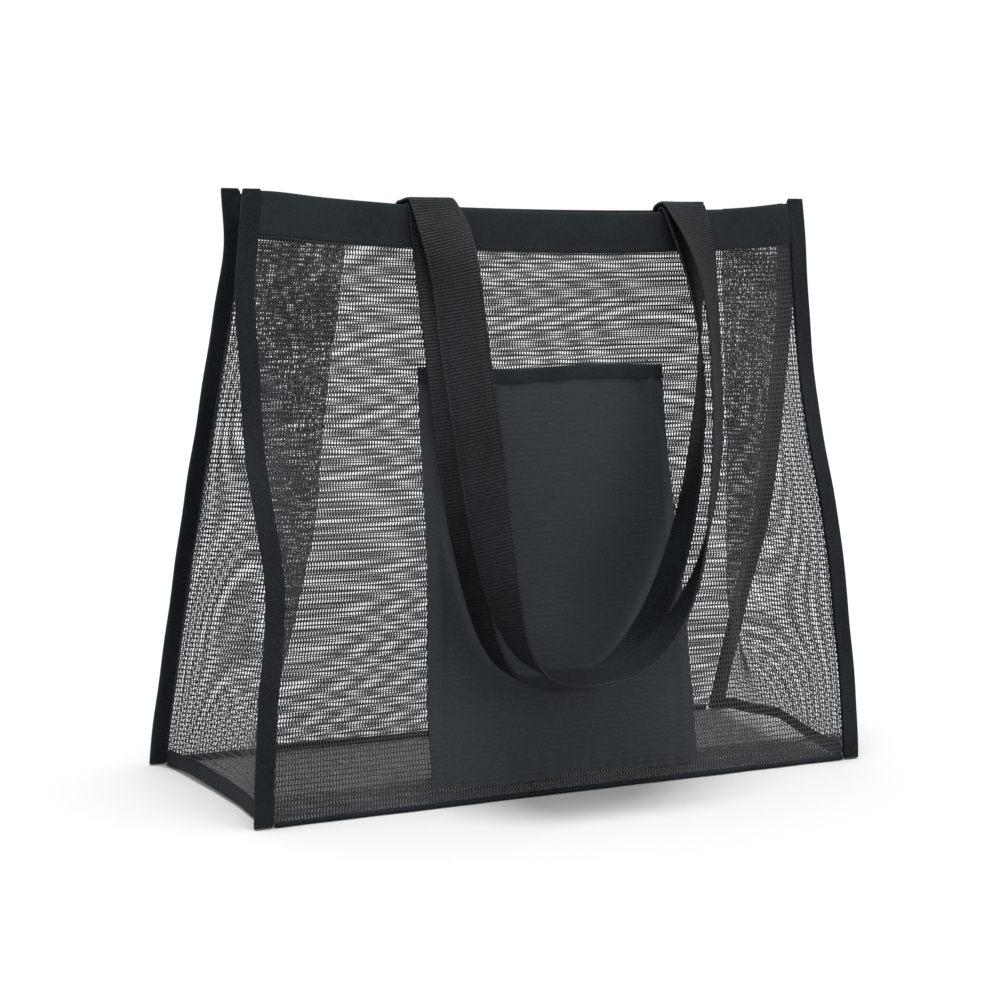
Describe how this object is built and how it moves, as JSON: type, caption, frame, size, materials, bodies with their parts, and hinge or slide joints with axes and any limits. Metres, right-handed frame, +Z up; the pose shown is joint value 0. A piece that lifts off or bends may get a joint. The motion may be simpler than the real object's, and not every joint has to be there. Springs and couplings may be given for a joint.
{
  "type": "beach bag",
  "caption": "Open-topped mesh tote bag with folded side gussets, a patch pocket on the front and long webbing handles hanging in front.",
  "frame": {"origin": "middle of the base, on the surface that the bag stands on", "axes": "+X along the width, towards the right as seen from the pocket side; -Y is the front, with the pocket and the hanging handles; +Z up"},
  "size_m": [0.44, 0.24, 0.3802],
  "materials": {
    "mesh": "open polyester warp-knit mesh, slightly shiny threads",
    "pocket_cloth": "close-woven ribbed cloth, slightly shiny",
    "hem_webbing": "fine plain weave, matt",
    "binding_tape": "ribbed grosgrain tape, matt",
    "strap_webbing": "cross-ribbed webbing with fine selvedges",
    "thread": "twisted polyester sewing thread"
  },
  "bodies": {
    "bag": {"bottom_mesh_panel": "mesh", "front_mesh_panel": "mesh", "back_mesh_panel": "mesh", "left_gusset_mesh": "mesh", "right_gusset_mesh": "mesh", "pocket_panel": "pocket_cloth", "front_hem_band": "hem_webbing", "back_hem_band": "hem_webbing", "left_gusset_hem_band": "hem_webbing", "right_gusset_hem_band": "hem_webbing", "pocket_top_hem": "hem_webbing", "front_bottom_binding": "binding_tape", "back_bottom_binding": "binding_tape", "front_left_binding": "binding_tape", "front_right_binding": "binding_tape", "back_left_binding": "binding_tape", "back_right_binding": "binding_tape", "left_bottom_binding": "binding_tape", "right_bottom_binding": "binding_tape", "front_handle_left_tab": "strap_webbing", "front_handle_right_tab": "strap_webbing", "back_handle_left_tab": "strap_webbing", "back_handle_right_tab": "strap_webbing", "pocket_bar_tacks": "thread", "front_handle_stitching": "thread", "back_handle_stitching": "thread"},
    "front_handle": {"front_handle_loop": "strap_webbing"},
    "back_handle_crossing": {"back_handle_left_crossing": "strap_webbing", "back_handle_right_crossing": "strap_webbing"},
    "back_handle": {"back_handle_loop": "strap_webbing"}
  },
  "joints": [
    {"name": "front_handle_lift", "type": "hinge", "parent": "bag", "child": "front_handle", "pos_m": [0.015, -0.02458, 0.37347], "axis": [-1, 0, 0], "range_deg": [0, 170]},
    {"name": "back_handle_lift", "type": "hinge", "parent": "bag", "child": "back_handle_crossing", "pos_m": [0.015, -0.0015, 0.37606], "axis": [-1, 0, 0], "range_deg": [0, 90]},
    {"name": "back_handle_unfold", "type": "hinge", "parent": "back_handle_crossing", "child": "back_handle", "pos_m": [0.015, -0.02656, 0.37606], "axis": [-1, 0, 0], "range_deg": [0, 80]}
  ],
  "couplings": [
    {"joint": "front_handle_lift", "follows": "back_handle_lift", "ratio": 1.8889},
    {"joint": "back_handle_unfold", "follows": "back_handle_lift", "ratio": 0.88888}
  ]
}
